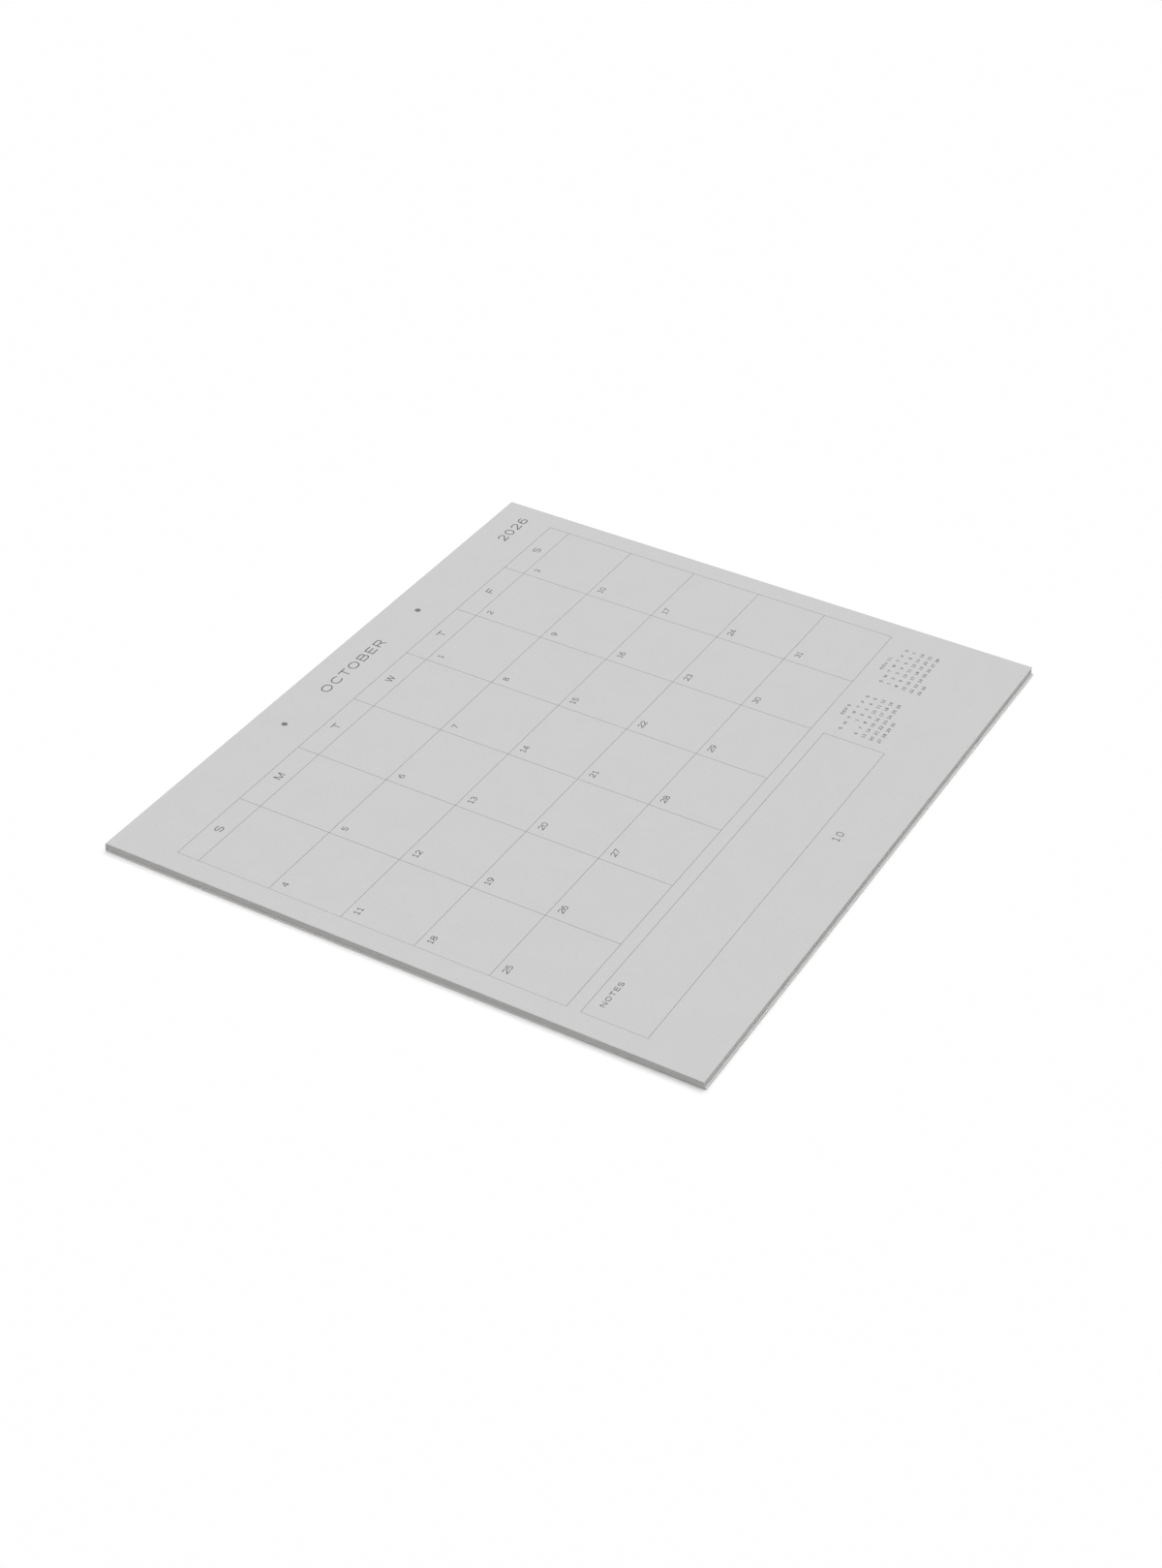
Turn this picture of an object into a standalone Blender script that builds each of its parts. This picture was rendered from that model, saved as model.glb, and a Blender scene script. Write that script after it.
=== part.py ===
"""A tear-off month calendar pad: printed sheets on a backing board, bound along the top edge.

The pad lies on its board, face up. X runs along the glued top edge, Y runs up the page and Z up
from the table. The sheets and the board are drilled together with two hanging holes, and a film
of padding glue along the top edge holds them. A sheet lifts by bending at that edge, so every
sheet turns about one line there, and it carries the sheets that lie on it.
"""

import math

import bmesh
import bpy
from mathutils import Vector

# Driving dimensions, in metres

SHEET_WIDTH = 0.3810
SHEET_HEIGHT = 0.3215
SHEET_THICKNESS = 0.00028
SHEET_COUNT = 12
AIR_GAP = 0.00005  # between one sheet and the next, and between the last sheet and the board

BOARD_THICKNESS = 0.0010
BOARD_OVERHANG = 0.0005  # how far the board shows past the sheets at the sides and the lower edge

TRIM_SPREAD = 0.0004  # how far the leaning knife lets the lower edge stand out, top sheet to board
TRIM_DRIFT = 0.0002  # the most that the knife's drift shortens a sheet
TRIM_TURN = math.radians(137.5)  # from one sheet's drift to the next, so that no two are alike

HOLE_DIAMETER = 0.0032
HOLE_SPACING = 0.1270
HOLE_FROM_TOP = 0.0158
HOLE_SIDES = 40

GLUE_THICKNESS = 0.0006  # the film at the middle of its bulge
GLUE_RIM = 0.0002  # the film at its upper and lower rims
GLUE_CLEARANCE = 0.0001  # from the cut edges to the film
GLUE_INSET = 0.0002  # how far the film stops short of the pad's top, bottom and ends
GLUE_STEPS = 12  # facets across the film's rounded back

FIRST_MONTH = 10  # the month on the top sheet
MONTHS = (
    "january", "february", "march", "april", "may", "june",
    "july", "august", "september", "october", "november", "december",
)  # fmt: skip

# Colours, as linear red, green and blue

PAPER_GREY = (0.610, 0.610, 0.610)
BOARD_CREAM = (0.560, 0.545, 0.500)
GLUE_CLEAR = (0.640, 0.640, 0.610)

# Sizes that follow

SHEET_PITCH = SHEET_THICKNESS + AIR_GAP
PAD_THICKNESS = SHEET_COUNT * SHEET_PITCH + BOARD_THICKNESS
BOARD_WIDTH = SHEET_WIDTH + 2 * BOARD_OVERHANG
BOARD_HEIGHT = SHEET_HEIGHT + TRIM_SPREAD + BOARD_OVERHANG
GLUE_REACH = GLUE_CLEARANCE + GLUE_THICKNESS
PAD_DEPTH = BOARD_HEIGHT + GLUE_REACH
BOUND_EDGE_Y = PAD_DEPTH / 2 - GLUE_REACH  # puts the middle of the whole pad at Y = 0


def material(name, colour, roughness):
    """A dull, non-metallic finish."""
    made = bpy.data.materials.new(name)
    made.use_nodes = True
    shader = made.node_tree.nodes["Principled BSDF"]
    shader.inputs["Base Color"].default_value = (*colour, 1.0)
    shader.inputs["Roughness"].default_value = roughness
    shader.inputs["Metallic"].default_value = 0.0
    return made


def add_object(name, shape, finish=None, parent=None):
    """Puts a finished bmesh into the scene as one named object."""
    bmesh.ops.recalc_face_normals(shape, faces=shape.faces)
    mesh = bpy.data.meshes.new(name)
    shape.to_mesh(mesh)
    shape.free()
    if finish:
        mesh.materials.append(finish)
    made = bpy.data.objects.new(name, mesh)
    made.parent = parent
    bpy.context.scene.collection.objects.link(made)
    return made


def slab(width, height, top, thickness):
    """A flat sheet hanging down the page (to -Y) from the bound edge, its upper face at top."""
    shape = bmesh.new()
    corners = [(-width / 2, 0), (-width / 2, -height), (width / 2, -height), (width / 2, 0)]
    outline = [shape.verts.new((x, y, top - thickness)) for x, y in corners]
    raised = bmesh.ops.extrude_face_region(shape, geom=[shape.faces.new(outline)])
    upper = [item for item in raised["geom"] if isinstance(item, bmesh.types.BMVert)]
    bmesh.ops.translate(shape, verts=upper, vec=Vector((0, 0, thickness)))
    return shape


def make_drill(parent):
    """The two drill bits that go through the whole pad at once."""
    shape = bmesh.new()
    run_through = SHEET_PITCH  # past both faces of the pad
    for side in (-1, 1):
        bit = bmesh.ops.create_cone(
            shape,
            cap_ends=True,
            segments=HOLE_SIDES,
            radius1=HOLE_DIAMETER / 2,
            radius2=HOLE_DIAMETER / 2,
            depth=PAD_THICKNESS + 2 * run_through,
        )
        place = Vector((side * HOLE_SPACING / 2, -HOLE_FROM_TOP, -PAD_THICKNESS / 2))
        bmesh.ops.translate(shape, verts=bit["verts"], vec=place)
    drill = add_object("drill", shape, parent=parent)
    drill.hide_render = True
    drill.display_type = "WIRE"
    return drill


def drill_holes(piece, drill):
    cut = piece.modifiers.new("hanging holes", "BOOLEAN")
    cut.operation = "DIFFERENCE"
    cut.solver = "EXACT"
    cut.object = drill


def make_board(parent, drill, finish):
    """The stiff back of the pad, a little larger than the sheets on the three open sides."""
    top = BOARD_THICKNESS - PAD_THICKNESS
    shape = slab(BOARD_WIDTH, BOARD_HEIGHT, top, BOARD_THICKNESS)
    board = add_object("backing_board", shape, finish, parent)
    drill_holes(board, drill)
    return board


def sheet_name(number):
    """Number 1 is the top sheet."""
    month = MONTHS[(FIRST_MONTH + number - 2) % len(MONTHS)]
    return f"sheet_{number:02d}_{month}"


def trimmed_height(number):
    """The top sheet's height is the nominal one. Those below stand out more, but for the drift."""
    spread = TRIM_SPREAD * (number - 1) / SHEET_COUNT
    drift = 0.5 * (1 - math.cos((number - 1) * TRIM_TURN)) * TRIM_DRIFT
    return SHEET_HEIGHT + spread - drift


def make_sheet(number, below, drill, finish):
    """One month's sheet. Its origin is on the bound edge, about which it lifts."""
    top = -(number - 1) * SHEET_PITCH
    shape = slab(SHEET_WIDTH, trimmed_height(number), top, SHEET_THICKNESS)
    sheet = add_object(sheet_name(number), shape, finish, below)
    drill_holes(sheet, drill)
    return sheet


def make_glue(parent, finish):
    """The glue film: flat against the cut edges, with a low rounded back, drawn along the edge."""
    shape = bmesh.new()
    low = -PAD_THICKNESS + GLUE_INSET
    high = -GLUE_INSET
    length = SHEET_WIDTH - 2 * GLUE_INSET
    profile = [(GLUE_CLEARANCE, high), (GLUE_CLEARANCE, low)]
    for step in range(GLUE_STEPS + 1):
        along = step / GLUE_STEPS
        bulge = (GLUE_THICKNESS - GLUE_RIM) * math.sin(math.pi * along)
        profile.append((GLUE_CLEARANCE + GLUE_RIM + bulge, low + (high - low) * along))
    ring = [shape.verts.new((-length / 2, y, z)) for y, z in profile]
    drawn = bmesh.ops.extrude_face_region(shape, geom=[shape.faces.new(ring)])
    far_end = [item for item in drawn["geom"] if isinstance(item, bmesh.types.BMVert)]
    bmesh.ops.translate(shape, verts=far_end, vec=Vector((length, 0, 0)))
    return add_object("binding_glue", shape, finish, parent)


def make_pad():
    for old in list(bpy.data.objects):
        bpy.data.objects.remove(old)
    paper = material("uncoated grey paper", PAPER_GREY, 0.85)
    board_stock = material("pressed board", BOARD_CREAM, 0.9)
    glue_film = material("padding glue", GLUE_CLEAR, 0.45)

    bound_edge = bpy.data.objects.new("bound_edge", None)
    bound_edge.location = (0, BOUND_EDGE_Y, PAD_THICKNESS)
    bpy.context.scene.collection.objects.link(bound_edge)

    drill = make_drill(bound_edge)
    make_board(bound_edge, drill, board_stock)
    make_glue(bound_edge, glue_film)
    below = bound_edge
    for number in range(SHEET_COUNT, 0, -1):
        below = make_sheet(number, below, drill, paper)
    size = [1000 * side for side in (BOARD_WIDTH, PAD_DEPTH, PAD_THICKNESS)]
    print("pad {:.1f} x {:.1f} x {:.2f} mm".format(*size))


make_pad()
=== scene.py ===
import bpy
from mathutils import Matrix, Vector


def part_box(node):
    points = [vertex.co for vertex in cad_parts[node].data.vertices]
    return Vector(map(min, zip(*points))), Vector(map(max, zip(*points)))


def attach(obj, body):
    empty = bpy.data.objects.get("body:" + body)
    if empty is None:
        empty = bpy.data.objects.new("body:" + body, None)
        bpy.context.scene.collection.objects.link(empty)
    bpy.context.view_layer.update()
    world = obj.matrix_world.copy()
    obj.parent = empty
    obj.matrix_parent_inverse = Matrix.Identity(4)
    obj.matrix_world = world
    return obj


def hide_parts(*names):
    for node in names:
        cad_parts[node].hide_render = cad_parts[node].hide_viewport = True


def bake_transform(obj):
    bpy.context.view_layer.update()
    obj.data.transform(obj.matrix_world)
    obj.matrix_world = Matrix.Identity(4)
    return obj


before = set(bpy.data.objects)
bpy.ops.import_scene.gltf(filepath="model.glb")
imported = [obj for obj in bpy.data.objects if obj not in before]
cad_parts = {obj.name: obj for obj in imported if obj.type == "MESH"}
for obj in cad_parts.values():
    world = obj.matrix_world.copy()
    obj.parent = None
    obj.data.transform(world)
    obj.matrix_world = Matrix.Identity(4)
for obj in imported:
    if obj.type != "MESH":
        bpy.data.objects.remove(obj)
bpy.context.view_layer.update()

# %% [markdown]
# A tear-off month calendar pad, dressed for its portrait
#
# The frame that was just loaded is the plain solid model of the pad: twelve sheets, a backing
# board and a film of padding glue, lying face up. X runs along the bound edge, Y runs up the page
# and Z up from the table, all in metres. This lesson replaces each plain solid with a worked-out
# surface in the same place, prints the months on the sheets, and lights the pad like a product
# photograph. The first code cell only measures what is there.

# %% Measure the frame
import calendar
import math

import bpy
import numpy as np

MM = 0.001
SHEET_NODES = sorted(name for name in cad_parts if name.startswith("sheet_"))
first_low, first_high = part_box(SHEET_NODES[0])
HALF_WIDTH = first_high[0]
BOUND_Y = first_high[1]  # the glued edge, from which every sheet hangs
FOOT_Y = first_low[1]  # the lower edge of the top sheet
PAGE_TOP = first_high[2]
print("sheets", len(SHEET_NODES), "page width in mm", round(2 * HALF_WIDTH / MM, 1))
print("bound edge at y", round(BOUND_Y, 4), "page surface at z", round(PAGE_TOP, 5))

# %% [markdown]
# The camera
#
# The photograph looks across the pad from its lower left corner, about 36 degrees above the table,
# through a mildly long lens. The numbers come from fitting a pinhole camera to the corners and the
# printed grid in the photograph. A camera could also be aimed by a Track To constraint, but plain
# numbers say exactly where it stands.

# %% Camera
LENS_MM, SENSOR_MM = 62.14, 36.0
CAMERA_PLACE = (-0.98514, -0.51458, 0.79594)
CAMERA_TURN = (53.820, -1.953, -60.669)  # degrees about X, Y and Z

camera_data = bpy.data.cameras.new("camera")
camera_data.lens = LENS_MM
camera_data.sensor_width = SENSOR_MM
camera = bpy.data.objects.new("camera", camera_data)
camera.location = CAMERA_PLACE
camera.rotation_euler = tuple(math.radians(angle) for angle in CAMERA_TURN)
bpy.context.scene.collection.objects.link(camera)
bpy.context.scene.camera = camera
bpy.context.scene.view_settings.view_transform = "Standard"
print("camera distance in m", round(camera.location.length, 3))

# %% [markdown]
# Colours and nodes
#
# Colours are written as the sRGB hex values that one reads off a screen, while Blender's shaders
# work in linear light, so one function converts them. A second small function adds a shader node
# with its settings and its links, which keeps the recipe of each finish short enough to read.


# %% Colour and node helpers
def linear(hex_colour):
    """sRGB to linear light: c / 12.92 below 0.04045, and ((c + 0.055) / 1.055) ** 2.4 above."""
    code = hex_colour.lstrip("#")
    srgb = np.array([int(code[i : i + 2], 16) for i in (0, 2, 4)]) / 255
    light = np.where(srgb <= 0.04045, srgb / 12.92, ((srgb + 0.055) / 1.055) ** 2.4)
    return (*light.tolist(), 1.0)


def add_node(tree, kind, inputs=None, stops=None, **settings):
    """One shader node. A value in inputs that is a socket is linked, and any other is set."""
    node = tree.nodes.new("ShaderNode" + kind)
    for name, value in settings.items():
        setattr(node, name, value)
    for name, value in (inputs or {}).items():
        if isinstance(value, bpy.types.NodeSocket):
            tree.links.new(value, node.inputs[name])
        else:
            node.inputs[name].default_value = value
    if stops:
        ramp = node.color_ramp
        while len(ramp.elements) < len(stops):
            ramp.elements.new(0.5)
        for element, (place, colour) in zip(ramp.elements, stops):
            element.position = place
            element.color = colour
    return node


def new_material(name):
    """An empty material, its Principled shader and the piece's own Object coordinates."""
    made = bpy.data.materials.new(name)
    made.use_nodes = True
    tree = made.node_tree
    place = add_node(tree, "TexCoord").outputs["Object"]
    return made, tree, tree.nodes["Principled BSDF"], place


def per_mm(size):
    """A texture's scale, in repeats per metre, for a pattern of that size in millimetres."""
    return 1 / (size * MM)


def noise_stops(low, high):
    """Ramp stops for a noise texture, whose values lie mostly between 0.3 and 0.7."""
    return [(0.3, low), (0.7, high)]


print("page grey in linear light", [round(c, 3) for c in linear("#CDCDCD")[:3]])

# %% [markdown]
# Light and ground
#
# The photograph is a cut-out on pure white with only a hint of shadow under the pad. The studio
# way to get that is one very large soft source overhead and a white table. Here a sun lamp with a
# disc 75 degrees wide stands for the softbox, because it lights the whole page evenly. It leans a
# few degrees to the pad's right. So the stack's left edge gets a little less light than its lower
# one, both stay well below the page's brightness, and a narrow soft shadow lies before them.
#
# The table is a nearly white diffuse sheet. Only rays that come straight from the camera, by a
# mirror or through glass see a little glow on it. That makes it paper white without lighting the
# pad.

# %% Light
SKY_LIGHT = 0.05
SUN_LIGHT = 2.99
LAMP_DISC = math.radians(75)
LAMP_LEAN = (math.radians(1.5), math.radians(3.5), 0)

lamp_data = bpy.data.lights.new("overhead softbox", "SUN")
lamp_data.energy = SUN_LIGHT
lamp_data.angle = LAMP_DISC
lamp = bpy.data.objects.new("overhead softbox", lamp_data)
lamp.rotation_euler = LAMP_LEAN
bpy.context.scene.collection.objects.link(lamp)


def seen_ray(tree):
    """1 for a ray from the camera, from a mirror or through glass, and otherwise 0."""
    rays = add_node(tree, "LightPath").outputs
    first_two = {0: rays["Is Camera Ray"], 1: rays["Is Glossy Ray"]}
    either = add_node(tree, "Math", first_two, operation="MAXIMUM").outputs[0]
    all_three = {0: either, 1: rays["Is Transmission Ray"]}
    return add_node(tree, "Math", all_three, operation="MAXIMUM").outputs[0]


world = bpy.data.worlds.new("white studio")
bpy.context.scene.world = world
world.use_nodes = True
sky = world.node_tree
seen = seen_ray(sky)
strength = add_node(sky, "MapRange", {"Value": seen, "To Min": SKY_LIGHT, "To Max": 1.0})
sky.links.new(strength.outputs["Result"], sky.nodes["Background"].inputs["Strength"])
sky.nodes["Background"].inputs["Color"].default_value = (1, 1, 1, 1)
print("sky light", SKY_LIGHT, "lamp", SUN_LIGHT)

# %% [markdown]
# Surfaces from numbers
#
# Every new piece here is a list of points and a list of faces that numpy works out as whole
# arrays. One function puts them into a mesh object that sits at the origin. Its faces are shaded
# smooth, apart from edges that turn by more than a given angle. A second function makes points
# that lie in the same place one, so that patches that were worked out apart have a closed seam.
# The third is the soft step from 0 to 1 that lets a change fade out over a margin.


# %% Mesh helpers
def make_piece(name, points, faces, materials, kinds=None, smooth_below=40):
    """A mesh object at the origin from points (n, 3) and faces, a list of index arrays."""
    mesh = bpy.data.meshes.new(name)
    rows = [face for block in faces for face in np.asarray(block).tolist()]
    mesh.from_pydata(np.asarray(points).tolist(), [], rows)
    for finish in materials:
        mesh.materials.append(finish)
    if kinds is not None:
        mesh.polygons.foreach_set("material_index", np.asarray(kinds, np.int32))
    mesh.shade_smooth()
    mesh.set_sharp_from_angle(angle=math.radians(smooth_below))
    mesh.validate()
    made = bpy.data.objects.new(name, mesh)
    bpy.context.scene.collection.objects.link(made)
    return made


def weld(points, faces):
    """Points that agree to a tenth of a micrometre become one, and the faces follow."""
    near = np.round(points, 7)
    _, first, place = np.unique(near, axis=0, return_index=True, return_inverse=True)
    return points[first], place.reshape(-1)[faces]


def smooth_step(x, start, end):
    """0 before start, 1 after end, and 3 t^2 - 2 t^3 between, with t the way from start to end."""
    t = np.clip((x - start) / (end - start), 0, 1)
    return t * t * (3 - 2 * t)


print("mesh helpers ready")

# %% [markdown]
# Table
#
# The white ground is a surface too, a plain grid. Its colour is a very pale grey, because even
# white card returns only about nine tenths of the light.

# %% Ground
GROUND_REACH = 6.0
GROUND_CELLS = 24  # along each side
GROUND_DROP = 0.02 * MM  # keeps the ground off the board's back
GROUND_GLOW = 0.04  # what the camera sees on top of the light that the card returns

ground_finish, tree, shader, place = new_material("white card, matt")
shader.inputs["Base Color"].default_value = linear("#FAFAFA")
shader.inputs["Roughness"].default_value = 1.0
shader.inputs["Specular IOR Level"].default_value = 0.0
glow = add_node(tree, "MapRange", {"Value": seen_ray(tree), "To Min": 0.0, "To Max": GROUND_GLOW})
tree.links.new(glow.outputs["Result"], shader.inputs["Emission Strength"])
shader.inputs["Emission Color"].default_value = (1, 1, 1, 1)

side = np.linspace(-GROUND_REACH, GROUND_REACH, GROUND_CELLS + 1)
gx, gy = np.meshgrid(side, side)
points = np.column_stack([gx.ravel(), gy.ravel(), np.full(gx.size, -GROUND_DROP)])
ahead = GROUND_CELLS + 1  # from a point to the one in the next row
first_corner = np.arange(GROUND_CELLS * ahead).reshape(GROUND_CELLS, ahead)[:, :-1].reshape(-1, 1)
faces = first_corner + np.array([0, 1, ahead + 1, ahead])
ground = make_piece("ground", points, [faces], [ground_finish])
print("ground faces", len(ground.data.polygons))

# %% [markdown]
# Uncoated grey paper
#
# The sheets are heavy uncoated paper, dyed through to an even middle-light grey. It was made on a
# paper machine from short fibres, so the eye sees three things: very faint clouds where the fibres
# lie thicker, a fine tooth that makes the surface dull, and here and there a darker speck of
# fibre. There is no gloss. The colour reads as 205 of 255 all over the page.
#
# Three patterns could be painted on as pictures, but worked out from Object coordinates they need
# no seams and stay sharp at any distance. Each is turned into a factor near one, and the factors
# are multiplied.

# %% Paper
PAPER_GREY = "#CDCDCD"
CLOUD_MM = 14.0
CLOUD_SHIFT = 0.007  # how much lighter or darker the clouds are
TOOTH_MM = 0.9  # real tooth is about 0.1 mm, and it is drawn this coarse so that it shows
TOOTH_DEPTH_MM = 0.02
SPECK_SPACING_MM = 7.0
SPECK_TONE = (0.80, 0.80, 0.80, 1)
WHITE = (1, 1, 1, 1)
FIBRE_IOR = 1.5  # cellulose
DULL = 0.2  # the specular level of paper and of dry ink, whose fine pores swallow the gloss


def tinted(hex_colour, factor):
    """That colour, lighter or darker by a factor in linear light."""
    return tuple(min(1.0, c * factor) for c in linear(hex_colour)[:3]) + (1.0,)


def multiply(tree, first, second):
    """One colour times another. A Mix node's sockets 6 and 7 are colours, and 0 is the share."""
    colours = {0: 1.0, 6: first, 7: second}
    return add_node(tree, "Mix", colours, data_type="RGBA", blend_type="MULTIPLY").outputs[2]


print("paper", PAPER_GREY, "clouds", CLOUD_MM, "mm, tooth", TOOTH_MM, "mm")


# %% Paper finish
def paper_finish(name, hex_colour, tooth_contrast, roughness):
    """Clouds, tooth and specks multiplied together, with the tooth as a bump too."""
    made, tree, shader, place = new_material(name)

    cloud_look = {"Vector": place, "Scale": per_mm(CLOUD_MM), "Detail": 3.0}
    clouds = add_node(tree, "TexNoise", cloud_look).outputs["Fac"]
    deep, light = tinted(hex_colour, 1 - CLOUD_SHIFT), tinted(hex_colour, 1 + CLOUD_SHIFT)
    cloud_tint = add_node(tree, "ValToRGB", {0: clouds}, stops=noise_stops(deep, light))

    tooth_look = {"Vector": place, "Scale": per_mm(TOOTH_MM), "Detail": 4.0, "Roughness": 0.7}
    tooth = add_node(tree, "TexNoise", tooth_look).outputs["Fac"]
    dark, pale = 1 - tooth_contrast / 2, 1 + tooth_contrast / 2
    tooth_stops = noise_stops((dark, dark, dark, 1), (pale, pale, pale, 1))
    tooth_tint = add_node(tree, "ValToRGB", {0: tooth}, stops=tooth_stops)

    speck_look = {"Vector": place, "Scale": per_mm(SPECK_SPACING_MM)}
    specks = add_node(tree, "TexVoronoi", speck_look).outputs["Distance"]
    speck_stops = [(0.030, SPECK_TONE), (0.050, WHITE)]  # a speck ends at a twentieth of its cell
    speck_tint = add_node(tree, "ValToRGB", {0: specks}, stops=speck_stops)

    colour = multiply(tree, cloud_tint.outputs["Color"], tooth_tint.outputs["Color"])
    colour = multiply(tree, colour, speck_tint.outputs["Color"])
    tree.links.new(colour, shader.inputs["Base Color"])
    relief = {"Height": tooth, "Strength": 0.35, "Distance": TOOTH_DEPTH_MM * MM}
    bump = add_node(tree, "Bump", relief)
    tree.links.new(bump.outputs["Normal"], shader.inputs["Normal"])
    shader.inputs["Roughness"].default_value = roughness
    shader.inputs["IOR"].default_value = FIBRE_IOR
    shader.inputs["Specular IOR Level"].default_value = DULL
    return made


paper = paper_finish("uncoated grey paper, machine made", PAPER_GREY, 0.055, 0.9)
print("made", paper.name)

# %% [markdown]
# The guillotined edge
#
# A guillotine cuts through the fibres, so the edge of a sheet is rougher than its face and swallows
# a little more light. The recipe is the paper's, a shade deeper. The wall of a drilled hole is
# painted paler: a drill tears the fibres and leaves a pale fuzz there, and on top of that painted
# light lifts the shade inside the hole.

# %% Cut edge
# The drilled wall's pale grey is torn-fibre fuzz plus painted light against the shade in the hole.
CUT_GREY, FUZZ_AND_PAINTED_LIGHT_GREY = "#CBCAC9", "#E6E5E4"
cut_paper = paper_finish("grey paper, guillotined edge", CUT_GREY, 0.06, 1.0)
drilled_fuzz_and_painted_light = paper_finish("grey paper, drilled wall with painted light", FUZZ_AND_PAINTED_LIGHT_GREY, 0.06, 1.0)
print("made", cut_paper.name, "and", drilled_fuzz_and_painted_light.name)

# %% [markdown]
# Pressed board
#
# The back of the pad is a millimetre of board pressed from washed pulp. It is nearly white, much
# paler than the sheets, with a fleck of darker fibre every few millimetres. Its cut edge is a
# little coarser than its faces, which the press has closed.

# %% Board
BOARD_WHITE = "#E2E1DF"
board_finish = paper_finish("pressed white board", BOARD_WHITE, 0.06, 0.95)
board_edge = paper_finish("pressed white board, guillotined edge", BOARD_WHITE, 0.08, 1.0)
print("made", board_finish.name, "and", board_edge.name)

# %% [markdown]
# A sheet
#
# A sheet is a rectangle with two drilled holes. A Boolean could cut them, but a surface of two
# parameters gives cleaner faces: a grid of rows and columns, with a square block left out round
# each hole. A ring patch fills that block. One of its parameters runs round, the other goes from
# the circle of the hole to the square of the block, point by point. The rows are close together
# under the bound edge, because there the sheet bends when it is lifted. The board is drilled in
# line with the sheets, so one rectangle serves for all of them.

# %% Sheet sizes
HOLE_X = 63.5 * MM
HOLE_Y = BOUND_Y - 15.8 * MM
HOLE_RADIUS = 1.6 * MM
HOLE_BLOCK = 3.2 * MM  # half the side of the block round a hole
BLOCK_STEPS = 12  # along each side of the block
RING_STEPS = 3  # from the hole to the block's side
BEND_DEPTH = 6.0 * MM  # how far down the page a lifted sheet bends
BEND_ROWS = 10  # rows of faces over that depth
CELL = 9.0 * MM  # the most that a row or column measures elsewhere


def spaced(start, end, most):
    """Evenly spaced values from start to end, no further apart than most."""
    return np.linspace(start, end, max(1, math.ceil(abs(end - start) / most)) + 1)


print("holes", round(2 * HOLE_X / MM, 1), "mm apart,", round(2 * HOLE_RADIUS / MM, 1), "mm wide")


# %% Hole patch
def in_hole_block(spots):
    """Whether each spot lies in the square block round one of the two holes."""
    aside = np.abs(np.abs(spots[:, 0]) - HOLE_X)
    above = np.abs(spots[:, 1] - HOLE_Y)
    return np.maximum(aside, above) < HOLE_BLOCK


def ring_patch(centre_x):
    """Point (i, j) is circle point i plus a share j of the way to square point i."""
    run = np.linspace(-1, 1, BLOCK_STEPS + 1)[:-1]
    one = np.ones(BLOCK_STEPS)
    square = HOLE_BLOCK * np.concatenate([
        np.column_stack([run, -one]), np.column_stack([one, run]),
        np.column_stack([-run, one]), np.column_stack([-one, -run]),
    ])
    count = len(square)
    angle = np.radians(-135) + 2 * np.pi * np.arange(count) / count  # from the lower left corner
    circle = HOLE_RADIUS * np.column_stack([np.cos(angle), np.sin(angle)])
    share = np.linspace(0, 1, RING_STEPS + 1)[:, None, None]
    points = (circle + share * (square - circle)).reshape(-1, 2) + (centre_x, HOLE_Y)
    i, j = np.meshgrid(np.arange(count), np.arange(RING_STEPS))
    here, after = (j * count + i).ravel(), (j * count + (i + 1) % count).ravel()
    return points, np.column_stack([here, here + count, after + count, after])


print("faces round one hole", len(ring_patch(HOLE_X)[1]))


# %% Sheet grid
def drilled_rectangle():
    """A grid of columns x and rows y over the page, with a ring patch in each hole's block."""
    xs = np.unique(np.round(np.concatenate([
        spaced(-HALF_WIDTH, -HOLE_X - HOLE_BLOCK, CELL),
        np.linspace(-HOLE_X - HOLE_BLOCK, -HOLE_X + HOLE_BLOCK, BLOCK_STEPS + 1),
        spaced(-HOLE_X + HOLE_BLOCK, HOLE_X - HOLE_BLOCK, CELL),
        np.linspace(HOLE_X - HOLE_BLOCK, HOLE_X + HOLE_BLOCK, BLOCK_STEPS + 1),
        spaced(HOLE_X + HOLE_BLOCK, HALF_WIDTH, CELL),
    ]), 8))
    ys = np.unique(np.round(np.concatenate([
        spaced(FOOT_Y, HOLE_Y - HOLE_BLOCK, CELL),
        np.linspace(HOLE_Y - HOLE_BLOCK, HOLE_Y + HOLE_BLOCK, BLOCK_STEPS + 1),
        spaced(HOLE_Y + HOLE_BLOCK, BOUND_Y - BEND_DEPTH, CELL),
        np.linspace(BOUND_Y - BEND_DEPTH, BOUND_Y, BEND_ROWS + 1),
    ]), 8))
    gx, gy = np.meshgrid(xs, ys)
    flat = np.column_stack([gx.ravel(), gy.ravel()])
    col, row = np.meshgrid(np.arange(len(xs) - 1), np.arange(len(ys) - 1))
    corner = (row * len(xs) + col).ravel()
    quads = corner[:, None] + np.array([0, 1, len(xs) + 1, len(xs)])
    quads = quads[~in_hole_block(flat[quads].mean(axis=1))]
    for centre_x in (-HOLE_X, HOLE_X):
        points, faces = ring_patch(centre_x)
        quads = np.concatenate([quads, faces + len(flat)])
        flat = np.concatenate([flat, points])
    return weld(flat, quads)


outline, cells = drilled_rectangle()
print("points in one face of a sheet", len(outline), "faces", len(cells))

# %% [markdown]
# Its thickness
#
# A sheet and the board are that flat rectangle with a thickness. A Solidify modifier could give
# it, but here each face also has to know its finish. So a function adds the underside and the
# walls: an edge that only one face uses is on the rim, and each rim edge gets one wall face. That
# works for the outer edge and for the drilled holes alike. The kinds say which finish a face has.

# %% Thickness
FACE, CUT_WALL, DRILLED_WALL = 0, 1, 2


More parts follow.
